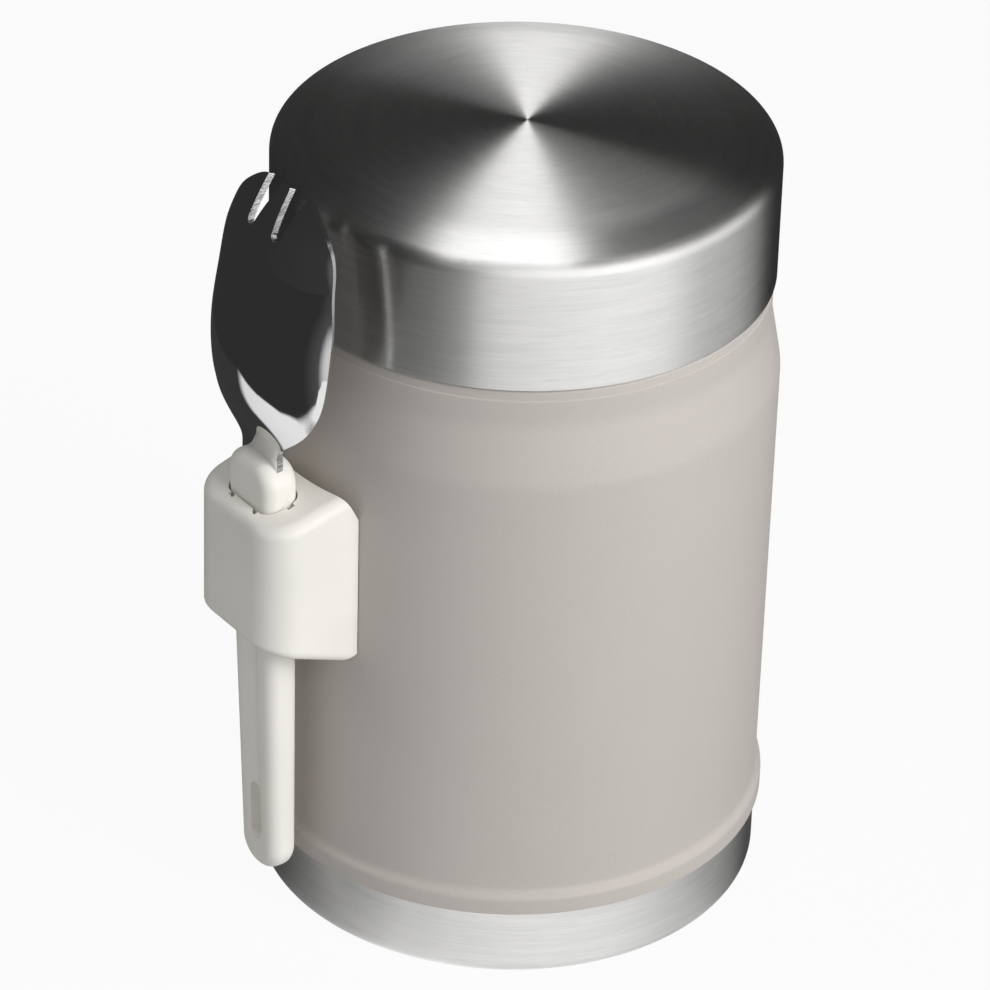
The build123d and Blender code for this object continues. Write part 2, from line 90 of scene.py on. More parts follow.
# Level of the light that mirrors meet, by the turn in degrees from the camera's side to its right:
# the room's wall, and three rings of the floor from the jar outwards.
WALL_LIGHT = {
    -90: 0.03, -28: 0.04, -14: 0.3, -6: 1.6, 0: 2.7, 20: 3.2, 40: 3.6,
    60: 3.6, 80: 2.5, 100: 2.2, 114: 1.8, 122: 0.5, 130: 0.04, 165: 0.03,
}
CLOSE_LIGHT = {
    -90: 0.04, -68: 0.15, -54: 0.42, -41: 0.8, -27: 1.35, -14: 1.4, 0: 0.9, 14: 0.85,
    27: 0.75, 41: 0.55, 54: 0.48, 66: 0.14, 80: 0.05, 94: 0.1, 120: 0.3, 150: 0.05,
}
MIDDLE_LIGHT = {-91: 0.04, -86: 0.8, -60: 0.9, -15: 0.95, 0: 0.9, 40: 0.5, 60: 0.12, 90: 0.04}
FAR_LIGHT = {
    -32: 0.03, -21: 0.08, -16: 0.7, -8: 0.6, 0: 0.5, 20: 0.75,
    40: 0.95, 60: 1.0, 80: 0.4, 110: 0.1, 125: 0.03,
}
# How far out the close ring and, by the same turn, the middle ring reach, in metres.
CLOSE_REACH = (0.075, 0.095)
MIDDLE_REACH = {
    -90: 0.235, -73: 0.196, -55: 0.168, -42: 0.173,
    -31: 0.194, -24: 0.21, -17: 0.3, 0: 0.178,
}
MIDDLE_FADE = 0.008

# The room's radius, the lift of its floor off the pale one, and the pale floor's half width.
ROOM, ROOM_LIFT, FLOOR = 1.6, 0.1 * MM, 3.0
# The card above, from its far end to its near one: how far ahead, how far aside, and half its width.
CARD_ENDS = ((-1.15, 0.0, 0.055), (0.35, -0.085, 0.29))
CARD_HEIGHT, CARD_LEVEL = 1.0, 2.1
# Lamps: turn in degrees from the camera's side, reach, height, height of the target, and width.
KEY_LAMP = (48, 1.1, 0.75, 0.07, 0.7)
FILL_LAMP = (-80, 1.0, 0.9, 0.09, 0.6)


# ---------------------------------------------------------------- surfaces


def unit(ways):
    """Directions, each brought to a length of one."""
    return ways / np.linalg.norm(ways, axis=1)[:, None]


def rounded(*corners, steps=10, longest=1.6 * MM):
    """A path through (x, y, radius) corners, with a tangent arc at each one between the two ends.

    At a corner that turns by an angle a, the arc of radius R starts R times tan(a/2) before the
    corner and follows start + R (sin t · forward + (1 - cos t) · sideways), t from 0 to a.
    Straight stretches are cut into pieces no longer than the given length.
    """
    points = np.array([corner[:2] for corner in corners], float)
    rounds = np.array([corner[2] for corner in corners[1:-1]])[:, None]
    run = unit(np.diff(points, axis=0))
    before, after = run[:-1], run[1:]
    cross = before[:, 0] * after[:, 1] - before[:, 1] * after[:, 0]
    turn = np.arctan2(cross, (before * after).sum(1))[:, None]
    start = points[1:-1] - before * rounds * np.tan(np.abs(turn) / 2)
    sideways = np.stack([-before[:, 1], before[:, 0]], 1) * np.sign(turn)
    t = np.linspace(0, 1, steps + 1)[None, :, None] * np.abs(turn)[:, None]
    arcs = np.sin(t) * before[:, None] + (1 - np.cos(t)) * sideways[:, None]
    arcs = start[:, None] + rounds[:, None] * arcs
    path = np.concatenate([points[:1], arcs.reshape(-1, 2), points[-1:]])
    path = path[np.r_[True, np.linalg.norm(np.diff(path, axis=0), axis=1) > 10 * SAME]]
    length = run_along(path)
    counts = np.ceil(np.diff(length) / longest).astype(int)
    return read_along(np.r_[stretches(*zip(length, length[1:], counts)), length[-1]], length, path)


def stretches(*spans):
    """Even steps through spans, each with its start, its end and its count of steps."""
    return np.concatenate([np.linspace(*span, endpoint=False) for span in spans])


def run_along(path):
    """How far along a path each of its points lies."""
    return np.r_[0, np.cumsum(np.linalg.norm(np.diff(path, axis=0), axis=1))]


def read_along(at, length, path):
    """Points of a path at some distances along it."""
    return np.stack([np.interp(at, length, path[:, axis]) for axis in (0, 1)], 1)


def grid_quads(rows, columns, closed_rows=False, closed_columns=False):
    """Four corner indices for each cell of a grid of vertices, with either direction closed on itself."""
    index = np.arange(rows * columns).reshape(rows, columns)
    if closed_rows:
        index = np.concatenate([index, index[:1]])
    if closed_columns:
        index = np.concatenate([index, index[:, :1]], 1)
    corners = index[:-1, :-1], index[:-1, 1:], index[1:, 1:], index[1:, :-1]
    return np.stack(corners, -1).reshape(-1, 4)


def spline(places, values, at, ends=None):
    """Smooth curve through (place, value) pairs, one cubic a stretch: y'' is continuous at every pair.

    The slopes s solve 1/h·s0 + 2(1/h + 1/k)·s1 + 1/k·s2 = 3(rise/h² + rise/k²) at each inner pair.
    The end slopes are those given, or else leave the ends free of bend.
    """
    places, values = np.asarray(places, float), np.asarray(values, float)
    values = values.reshape(len(places), -1)
    gap = np.diff(places)[:, None]
    rise = np.diff(values, axis=0) / gap
    count = len(places)
    matrix, right = np.zeros((count, count)), np.zeros_like(values)
    inner = np.arange(1, count - 1)
    matrix[inner, inner - 1] = 1 / gap[:-1, 0]
    matrix[inner, inner] = 2 * (1 / gap[:-1, 0] + 1 / gap[1:, 0])
    matrix[inner, inner + 1] = 1 / gap[1:, 0]
    right[inner] = 3 * (rise[:-1] / gap[:-1] + rise[1:] / gap[1:])
    if ends is None:
        matrix[0, :2], right[0] = (2, 1), 3 * rise[0]
        matrix[-1, -2:], right[-1] = (1, 2), 3 * rise[-1]
    else:
        matrix[0, 0] = matrix[-1, -1] = 1
        right[0], right[-1] = np.asarray(ends, float)
    slope = np.linalg.solve(matrix, right)
    at = np.atleast_1d(np.asarray(at, float))
    k = np.clip(np.searchsorted(places, at, side="right") - 1, 0, count - 2)
    h = gap[k]
    t = (at[:, None] - places[k][:, None]) / h
    y = (2 * t**3 - 3 * t**2 + 1) * values[k] + (3 * t**2 - 2 * t**3) * values[k + 1]
    return y + ((t**3 - 2 * t**2 + t) * slope[k] + (t**3 - t**2) * slope[k + 1]) * h


def free_edges(quads):
    """Edges that only one cell has, in the order in which that cell runs them."""
    edges = np.concatenate([quads[:, [k, (k + 1) % 4]] for k in range(4)])
    edges = edges[edges[:, 0] != edges[:, 1]]
    _, first, count = np.unique(np.sort(edges, 1), axis=0, return_index=True, return_counts=True)
    return edges[first[count == 1]]


def joined(*patches):
    """Put flat patches of cells into one, with the points that they share made one."""
    points = np.concatenate([patch[0].reshape(-1, 2) for patch in patches])
    starts = np.cumsum([0] + [patch[0].size // 2 for patch in patches[:-1]])
    quads = np.concatenate([patch[1] + start for patch, start in zip(patches, starts)])
    _, first, same = np.unique(np.round(points / SAME), axis=0, return_index=True, return_inverse=True)
    return points[first], same.reshape(-1)[quads]


def sheet(back, front, quads):
    """Close two layers of the same cells: the back, the front turned over, and a face at each free edge."""
    count = len(back)
    a, b = free_edges(quads).T
    sides = np.stack([b, a, a + count, b + count], 1)
    return np.concatenate([back, front]), np.concatenate([quads, quads[:, ::-1] + count, sides])


def volume(vertices, quads):
    """Signed volume inside closed faces: the sum of corner · (corner × corner) / 6 over their triangles."""
    a, b, c, d = (vertices[quads[:, k]] for k in range(4))
    return (a * (np.cross(b, c) + np.cross(c, d))).sum() / 6


def make_piece(name, surface, body, slot, replaces=(), look=None):
    """Put a closed surface into a mesh, faces outwards, and hang it on its body.

    Corners that share a place are joined first, which closes the poles and turns the cells there
    into triangles. The look names the finish, which otherwise has the slot's name.
    """
    vertices, quads = surface
    vertices = vertices.reshape(-1, 3)
    if volume(vertices, quads) < 0:
        quads = quads[:, ::-1]
    places = np.round(vertices / SAME).astype(np.int64)
    _, first, same = np.unique(places, axis=0, return_index=True, return_inverse=True)
    quads = same.reshape(-1)[quads]
    faces = [list(dict.fromkeys(face)) for face in quads.tolist()]
    mesh = bpy.data.meshes.new(name)
    mesh.from_pydata(vertices[first].tolist(), [], [face for face in faces if len(face) > 2])
    mesh.shade_smooth()
    mesh.materials.append(finish(look or slot))
    piece = bpy.data.objects.new(name, mesh)
    bpy.context.scene.collection.objects.link(piece)
    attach(piece, body)
    if replaces:
        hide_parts(*replaces)
    return piece


def second_finish(piece, name, chosen):
    """Give the faces that a test of their centres and normals picks another finish."""
    mesh = piece.data
    mesh.materials.append(finish(name))
    centre, normal = np.empty((2, len(mesh.polygons), 3))
    mesh.polygons.foreach_get("center", centre.reshape(-1))
    mesh.polygons.foreach_get("normal", normal.reshape(-1))
    picked = chosen(centre.T, np.abs(normal.T))
    mesh.polygons.foreach_set("material_index", picked.astype(np.int32))


def turned(path, closed=False):
    """Carry (radius, height) points round the Z axis: x = radius · cos a, y = radius · sin a, z = height."""
    angle = np.linspace(0, 2 * np.pi, AROUND, endpoint=False)
    radius, height = np.asarray(path).T[:, :, None]
    vertices = np.stack(np.broadcast_arrays(radius * np.cos(angle), radius * np.sin(angle), height), -1)
    return vertices, grid_quads(len(path), AROUND, closed_rows=closed, closed_columns=True)


def helix_ridge(radius, low, thread, side, start=0.0):
    """A thread ridge on a cylinder.

    Its section is a raised cosine: height = crest · (1 + cos(pi · w / half)) / 2 for w from -half
    to half. It is carried along a helix whose height grows by one pitch a turn, faces outwards
    for side 1 or inwards for side -1, and fades into the wall over a twelfth of a turn. Its foot is
    sunk into the wall, and a point closes each end.
    """
    pitch, turns, crest, half = thread
    steps_a_turn, fades_a_turn, thinnest, narrowest = 96, 12, 0.02, 0.4
    section, sunk = 13, 0.15 * MM
    along = np.linspace(0, turns, int(steps_a_turn * turns))[:, None]
    fade = np.clip(np.minimum(along, turns - along) * fades_a_turn, thinnest, 1)
    fade = fade * fade * (3 - 2 * fade)
    w = np.linspace(-1, 1, section)
    rise = np.r_[(1 + np.cos(np.pi * w)) / 2, 0, 0]
    sink = np.r_[np.zeros(section), 1, 1]
    across = np.r_[w, 1, -1] * half
    reach = radius + side * (crest * fade * rise - sunk * sink)
    angle = 2 * np.pi * along + start
    height = low + pitch * along + across * (narrowest + (1 - narrowest) * fade)
    rings = np.stack([reach * np.cos(angle), reach * np.sin(angle), height], -1)
    tips = [np.broadcast_to(ring[section // 2], (1, *ring.shape)) for ring in (rings[0], rings[-1])]
    vertices = np.concatenate([tips[0], rings, tips[1]])
    return vertices, grid_quads(*vertices.shape[:2], closed_columns=True)


# ---------------------------------------------------------------- shader maths


class Value:
    """A node's output in a sum: arithmetic on it adds the Math nodes that work it out."""

    def __init__(self, finish, socket):
        self.finish = finish
        self.socket = socket

    def _math(self, operation, first, second):
        """The Math node's output for an operation on two values or numbers."""
        return self.finish.node("ShaderNodeMath", {"operation": operation}, {0: first, 1: second})

    def __add__(self, other):
        return self._math("ADD", self, other)

    def __radd__(self, other):
        return self._math("ADD", other, self)

    def __sub__(self, other):
        return self._math("SUBTRACT", self, other)

    def __rsub__(self, other):
        return self._math("SUBTRACT", other, self)

    def __mul__(self, other):
        return self._math("MULTIPLY", self, other)

    def __rmul__(self, other):
        return self._math("MULTIPLY", other, self)

    def __truediv__(self, other):
        return self._math("DIVIDE", self, other)


class Finish:
    """The node tree of a new material, or of a new world: node() adds any node, end() closes the tree."""

    def __init__(self, name, kind="Material"):
        self.kind = kind
        self.owner = {"Material": bpy.data.materials, "World": bpy.data.worlds}[kind].new(name)
        self.owner.use_nodes = True
        self.tree = self.owner.node_tree
        self.tree.nodes.clear()

    def node(self, kind, settings=None, values=None, output=0):
        """Add a node: its settings first, then its sockets, each by name, place or identifier."""
        node = self.tree.nodes.new(kind)
        for key, setting in (settings or {}).items():
            if key == "stops":
                self._stops(node.color_ramp, setting)
            else:
                setattr(node, key, setting)
        for key, value in (values or {}).items():
            socket = self._socket(node.inputs, key)
            if isinstance(value, Value):
                self.tree.links.new(value.socket, socket)
            else:
                socket.default_value = value
        return Value(self, self._socket(node.outputs, output)) if len(node.outputs) else None

    @staticmethod
    def _socket(sockets, key):
        """A socket by its place, or else by its identifier or name."""
        if isinstance(key, int):
            return sockets[key]
        found = [s for s in sockets if s.identifier == key] or [s for s in sockets if s.name == key]
        if not found:
            raise KeyError(f"no socket {key!r}")
        return found[0]

    @staticmethod
    def _stops(ramp, stops):
        """Give a colour ramp grey stops, each a place and a shade."""
        while len(ramp.elements) < len(stops):
            ramp.elements.new(1.0)
        for element, (place, shade) in zip(ramp.elements, stops):
            element.position = place
            element.color = (shade, shade, shade, 1.0)

    def beside(self, value, *outputs):
        """Outputs, by name, of the node that a value comes from."""
        return [Value(self, self._socket(value.socket.node.outputs, key)) for key in outputs]

    def place(self):
        """The point on the object, in metres."""
        return self.node("ShaderNodeTexCoord", output="Object")

    def parts(self, vector):
        """The three parts of a vector."""
        return self.beside(self.node("ShaderNodeSeparateXYZ", {}, {"Vector": vector}), "X", "Y", "Z")

    def vector(self, operation, *values, output="Value"):
        """Vector maths on one or two vectors."""
        return self.node("ShaderNodeVectorMath", {"operation": operation}, dict(enumerate(values)), output)

    def noise(self, vector, scale, detail=2.0, rough=0.5):
        """Smooth noise from 0 to 1, with so many grains a metre."""
        values = {"Vector": vector, "Scale": scale, "Detail": detail, "Roughness": rough}
        return self.node("ShaderNodeTexNoise", {}, values)

    def ramp(self, factor, *stops):
        """Straight steps between (place, level) stops."""
        return self.node("ShaderNodeValToRGB", {"stops": stops}, {"Fac": factor})

    def by_turn(self, turn, table, top=1.0):
        """Levels up to a top one, by a turn that runs from 0 to 1 for the table's -180 to 180 degrees."""
        return self.ramp(turn, *[(at / 360 + 0.5, level / top) for at, level in table.items()]) * top

    def mix(self, factor, first, second):
        """A colour between two others."""
        values = {"Factor_Float": factor, "A_Color": first, "B_Color": second}
        return self.node("ShaderNodeMix", {"data_type": "RGBA"}, values, "Result_Color")

    def bump(self, height, strength, distance):
        """A normal that leans as a height from 0 to 1 changes, where 1 stands for a distance in metres."""
        values = {"Height": height, "Strength": strength, "Distance": distance}
        return self.node("ShaderNodeBump", {}, values)

    def glow(self, colour, strength=1.0):
        """A shader that shines, white at 1."""
        return self.node("ShaderNodeEmission", {}, {"Color": colour, "Strength": strength})

    def end(self, shader):
        """Close the tree with its shader."""
        self.node(f"ShaderNodeOutput{self.kind}", {}, {"Surface": shader})
        return self.owner

    def surface(self, **values):
        """Close the tree with the main shader. Words in its socket names are joined with _ here."""
        named = {key.replace("_", " "): value for key, value in values.items()}
        return self.end(self.node("ShaderNodeBsdfPrincipled", {}, named))


def tone(colour, factor=1.0):
    """A colour for a socket, made lighter or darker by a factor."""
    return (*[channel * factor for channel in colour[:3]], 1.0)


def powder_coat(f, colour):
    """Powder paint: fine orange peel, a trace of grain in the colour and a satin skin."""
    place = f.place()
    peel = f.noise(place, 2600.0, 3.0, 0.6)
    grain = f.noise(place, 6500.0, 2.0, 0.6)
    cloud = f.noise(place, 60.0, 2.0)
    shade = f.mix(f.ramp(grain, (0.35, 0.0), (0.68, 1.0)), tone(colour, 0.93), tone(colour, 1.05))
    shade = f.mix(f.ramp(cloud, (0.4, 0.0), (0.7, 0.25)), shade, tone(colour, 1.03))
    skin = f.bump(peel * 0.7 + grain * 0.3, 0.3, 0.08 * MM)
    rough = 0.44 + 0.12 * peel
    return f.surface(Base_Color=shade, Roughness=rough, Normal=skin, Specular_IOR_Level=0.5)


def brushed_steel(f, colour):
    """Steel brushed round the jar's axis, smoother near the lid's rim.

    The noise is read at a point whose first part is radius + height, drawn out, and whose others are
    the direction from the axis, so that the lines run round both a flat end and a side wall.
    """
    x, y, z = f.parts(f.place())
    across = f.node("ShaderNodeCombineXYZ", {}, {"X": x, "Y": y, "Z": 0.0})
    radius = f.vector("LENGTH", across)
    east, north, _ = f.parts(f.vector("NORMALIZE", across, output="Vector"))
    line = (radius + z) * 5200.0

    def lines(turn, shift, scale):
        """Noise in lines round the axis, by its grains a radian, its shift and its fineness across."""
        values = {"X": line * scale + shift, "Y": east * turn, "Z": north * turn}
        return f.noise(f.node("ShaderNodeCombineXYZ", {}, values), 1.0, 3.0, 0.65)

    broad = lines(2.2, 0.0, 0.16)
    hair = lines(5.0, 37.0, 1.0)
    scratch = f.ramp(lines(9.0, 91.0, 0.55), (0.6, 0.0), (0.74, 1.0))
    shine = f.ramp(broad * 0.45 + hair * 0.55, (0.3, 0.0), (0.7, 1.0))
    tint = f.mix(shine, tone(colour, 0.86), tone(colour, 1.06))
    tint = f.mix(scratch * 0.35, tint, tone(colour, 0.7))
    rim = f.ramp(radius / (50 * MM), (0.66, 0.0), (0.74, 1.0), (0.855, 1.0), (0.868, 0.45))
    rough = 0.36 + 0.12 * hair + 0.05 * scratch - 0.08 * rim
    cut = f.bump(hair * 0.7 + broad * 0.3, 0.16, 0.06 * MM)
    return f.surface(
        Base_Color=tint,
        Metallic=1.0,
        Roughness=rough,
        Normal=cut,
        Anisotropic=1.0,
        Anisotropic_Rotation=0.25,
    )


def satin_steel(f, colour, roughness):
    """Drawn or tumbled steel with no direction, faintly clouded."""
    place = f.place()
    cloud = f.noise(place, 260.0, 4.0, 0.6)
    speck = f.noise(place, 4200.0, 2.0)
    tint = f.mix(f.ramp(cloud, (0.35, 0.0), (0.65, 1.0)), tone(colour, 0.9), tone(colour, 1.04))
    rough = roughness - 0.05 + 0.1 * cloud + 0.04 * speck
    return f.surface(Base_Color=tint, Metallic=1.0, Roughness=rough, Normal=f.bump(speck, 0.12, 0.04 * MM))


def polished_steel(f, colour):
    """Mirror steel with a trace of haze and long fine wear lines."""
    place = f.place()
    stretched = f.node("ShaderNodeMapping", {}, {"Vector": place, "Scale": (1.0, 1.0, 0.06)})
    wear = f.ramp(f.noise(stretched, 5200.0, 3.0, 0.6), (0.56, 0.0), (0.75, 1.0))
    haze = f.noise(place, 90.0, 3.0)
    rough = 0.012 + 0.03 * wear + 0.015 * haze
    tint = f.mix(wear * 0.3, tone(colour), tone(colour, 0.85))
    return f.surface(Base_Color=tint, Metallic=1.0, Roughness=rough, Normal=f.bump(wear, 0.04, 0.02 * MM))


def sheared_steel(f, colour):
    """Steel as the cutting tool leaves it: fine grooves across the sheet."""
    stretched = f.node("ShaderNodeMapping", {}, {"Vector": f.place(), "Scale": (0.2, 0.1, 1.0)})
    grooves = f.noise(stretched, 6500.0, 1.0, 0.5)
    tint = f.mix(f.ramp(grooves, (0.38, 0.0), (0.62, 1.0)), tone(colour, 0.3), tone(colour, 0.75))
    rough = 0.3 + 0.2 * grooves
    return f.surface(Base_Color=tint, Metallic=1.0, Roughness=rough, Normal=f.bump(grooves, 0.6, 0.12 * MM))


def moulded(f, colour, roughness=0.46, grain=3200.0):
    """Moulded plastic: spark-eroded grain, slight flow clouding, softly glossy."""
    place = f.place()
    fine = f.noise(place, grain, 3.0, 0.6)
    flow = f.noise(place, 70.0, 2.0)
    tint = f.mix(f.ramp(flow, (0.35, 0.0), (0.7, 1.0)), tone(colour, 0.97), tone(colour, 1.02))
    tint = f.mix(f.ramp(fine, (0.4, 0.0), (0.7, 0.3)), tint, tone(colour, 0.95))
    rough = roughness - 0.05 + 0.1 * fine
    return f.surface(Base_Color=tint, Roughness=rough, Normal=f.bump(fine, 0.22, 0.04 * MM))


def foam(f, colour):
    """Closed-cell foam: small cells that dent the skin and darken between them."""
    place = f.place()
    cells = f.node("ShaderNodeTexVoronoi", {}, {"Vector": place, "Scale": 900.0}, "Distance")
    tint = f.mix(f.ramp(cells, (0.2, 0.0), (0.7, 1.0)), tone(colour), tone(colour, 0.8))
    return f.surface(Base_Color=tint, Roughness=0.9, Normal=f.bump(cells, 0.5, 0.3 * MM))


# What makes each finish: the function, the name of the colour, and further values.
FINISHES = {
    "powder_coat": (powder_coat, "paint"),
    "brushed_steel": (brushed_steel, "steel"),
    "inner_steel": (satin_steel, "inner", 0.22),
    "plain_steel": (satin_steel, "inner", 0.38),
    "polished_steel": (polished_steel, "mirror"),
    "sheared_steel": (sheared_steel, "steel"),
    "cream_plastic": (moulded, "cream"),
    "grey_plastic": (moulded, "grey", 0.4),
    "silicone": (moulded, "silicone", 0.5, 1800.0),
    "foam": (foam, "foam"),
    "copper_foil": (satin_steel, "copper", 0.2),
    "getter_alloy": (satin_steel, "getter", 0.55),
    "braze": (satin_steel, "braze", 0.35),
}


def finish(name):
    """A finish's material, made when it is first asked for."""
    full = f"{name}_finish"
    if full in bpy.data.materials:
        return bpy.data.materials[full]
    maker, tint, *values = FINISHES[name]
    return maker(Finish(full), getattr(bpy.context.scene.jar_colours, tint), *values)


def dress(**finishes):
    """Give CAD nodes that are shown as they are their finishes."""
    for node, name in finishes.items():
        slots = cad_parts[node].material_slots
        if not slots:
            raise RuntimeError(f"{node} has no material slot")
        for slot in slots:
            slot.material = finish(name)


# ---------------------------------------------------------------- sizes and colours


def size(label, about, length):
    """A length, given in millimetres and kept in metres."""
    kind = {"min": 0.0, "unit": "LENGTH", "precision": 5}
    return FloatProperty(name=label, description=about, default=length * MM, **kind)


def number(label, about, default):
    """A plain number."""
    return FloatProperty(name=label, description=about, default=default)


def angle(label, about, degrees):
    """An angle, given in degrees and kept in radians."""
    return FloatProperty(name=label, description=about, default=math.radians(degrees), subtype="ANGLE")


def colour(label, about, default):
    """A colour in linear light."""
    kind = {"min": 0.0, "max": 1.0, "subtype": "COLOR"}
    return FloatVectorProperty(name=label, description=about, default=default, **kind)


class JarSizes(bpy.types.PropertyGroup):
    """Sizes of the turned pieces."""

    shoulder: size("Shoulder", "Height where the body starts to neck in", 100.8)
    shoulder_round: size("Shoulder round", "Radius of the two bends of the shoulder", 12.0)
    body_low: size("Lower radius", "Body radius above the bead", 44.6)
    body_high: size("Upper radius", "Body radius at the shoulder", 44.85)
    waist: size("Waist radius", "Radius of the necked-in strip below the lid", 42.85)
    waist_height: size("Waist height", "Height at which the shoulder ends", 111.6)
    crease: size("Crease height", "Height of the fine step in the strip", 116.4)
    ledge: size("Ledge height", "Height of the ledge that the lid comes down on", 118.5)
    neck: size("Neck radius", "Radius of the threaded neck", 39.3)
    bead_high: size("Bead top", "Height at which the bead starts to fade", 16.9)
    sheet: size("Sheet", "Thickness of the outer steel", 0.6)
    stopper: size("Stopper", "Radius of the stopper's cup", 35.9)
    mouth: size("Mouth", "Inner radius of the vessel's mouth", 36.6)
    lid_edge: size("Lid edge", "Radius of the lid's upper edge", 3.0)
    lid_dome: size("Lid dome", "How far the lid's middle rises above its edge", 3.4)
    liner_wall: size("Liner wall", "Thickness of the lid's liner", 1.4)
    neck_start: size("Neck thread", "Start of the neck's thread above the ledge", 2.2)
    liner_start: size("Liner thread", "Start of the liner's thread above its foot", 3.0)
    stopper_start: size("Stopper thread", "Start of the stopper's thread above its foot", 8.5)


class JarColours(bpy.types.PropertyGroup):
    """Colours of the finishes."""

    paint: colour("Paint", "Powder coat of the body", (0.57, 0.53, 0.495))
    steel: colour("Steel", "Brushed steel", (0.74, 0.735, 0.725))
    inner: colour("Inner steel", "Electropolished steel inside", (0.7, 0.69, 0.67))
    mirror: colour("Mirror steel", "Polished steel of the spork", (0.82, 0.82, 0.82))
    cream: colour("Cream", "Plastic of the holder and handle", (0.93, 0.91, 0.85))
    grey: colour("Grey", "Plastic of the liner and stopper", (0.3, 0.3, 0.29))
    silicone: colour("Silicone", "Gasket", (0.55, 0.55, 0.53))
    foam: colour("Foam", "Insulation", (0.75, 0.73, 0.68))
    copper: colour("Copper", "Heat foil", (0.9, 0.5, 0.34))
    getter: colour("Getter", "Gas-absorbing pill", (0.28, 0.276, 0.268))
    braze: colour("Braze", "Seal of the pumping hole", (0.72, 0.6, 0.36))


class SporkSizes(bpy.types.PropertyGroup):
    """Sizes of the spork, measured upright from the foot of its handle."""

    reach: size("Reach", "Axis of the spork from the jar's, at the foot of the handle", 51.627)
    foot: size("Foot", "Height of the foot of the handle", 13.3)
    lean: angle("Lean", "Turn of the spork outwards", 1.31)
    handle: size("Handle", "Length of the handle", 85.2)
    width_low: size("Width at the foot", "Width of the handle at its foot", 10.4)
    width_high: size("Width at the top", "Width of the handle at its top", 13.0)
    depth_low: size("Depth at the foot", "Depth of the handle at its foot", 5.6)
    depth_high: size("Depth at the top", "Depth of the handle at its top", 7.0)
    side_round: size("Side round", "Radius along the handle's edges", 2.4)
    shoulder_round: size("Shoulder round", "Radius of the handle's shoulders", 4.2)
    groove_width: size("Groove width", "Width of the groove in the handle", 4.2)
    groove_depth: size("Groove depth", "Depth of the groove", 0.55)
    groove_low: size("Groove foot", "Start of the groove", 9.0)
    groove_high: size("Groove top", "End of the groove", 60.0)
    pocket_width: size("Pocket width", "Width of the pocket near the foot", 3.0)
    pocket_low: size("Pocket foot", "Start of the pocket", 6.6)
    pocket_high: size("Pocket top", "End of the pocket", 17.8)
    pocket_depth: size("Pocket depth", "Depth of the pocket", 2.0)
    steel: size("Steel", "Thickness of the head", 1.25)
    neck: size("Neck", "Width of the flat neck", 10.3)
    neck_depth: size("Neck depth", "Length of the neck inside the handle", 5.0)
    head: size("Head", "Length of the head above the handle", 50.0)
    bowl_half: size("Bowl half width", "Half of the bowl's width", 16.5)
    bowl_depth: size("Bowl depth", "How far the bowl's back stands out", 5.6)
    tip_offset: size("Tip offset", "Outer tines' tips from the middle", 5.5)
    tip_drop: size("Tip drop", "Outer tines' tips below the middle one's", 0.35)
    tine: size("Tine", "Length of the slots between the tines", 7.4)
    slot_round: size("Slot round", "Radius of a slot's foot", 1.1)
    slot_offset: size("Slot offset", "Foot of a slot from the middle", 3.6)
    middle_tine: size("Middle tine", "Half width of the middle tine's tip", 1.1)
    bevel: size("Bevel", "Width of the polished edge", 0.32)


class StageSizes(bpy.types.PropertyGroup):
    """Camera and lights."""

    azimuth: angle("Azimuth", "Camera turned from -Y towards +X", 53.0)
    elevation: angle("Elevation", "Camera above level", 32.365)
    roll: angle("Roll", "Camera turned about its own axis", 1.738)
    aim: size("Aim", "Height of the jar's middle, beside which the camera aims", 70.05)
    aim_left: size("Aim left", "How far to the left of the middle the camera aims", 3.529)
    aim_up: size("Aim up", "How far above the middle the camera aims", 0.941)
    distance: size("Distance", "Camera to target", 1027.4)
    lens: number("Lens", "Focal length in millimetres", 213.48)
    key: number("Key power", "Watts of the key lamp", 12.7)
    fill: number("Fill power", "Watts of the fill lamp on the other side", 1.6)
    ambient: number("Ambient", "Level of the surrounding light", 0.27)


# ---------------------------------------------------------------- pieces


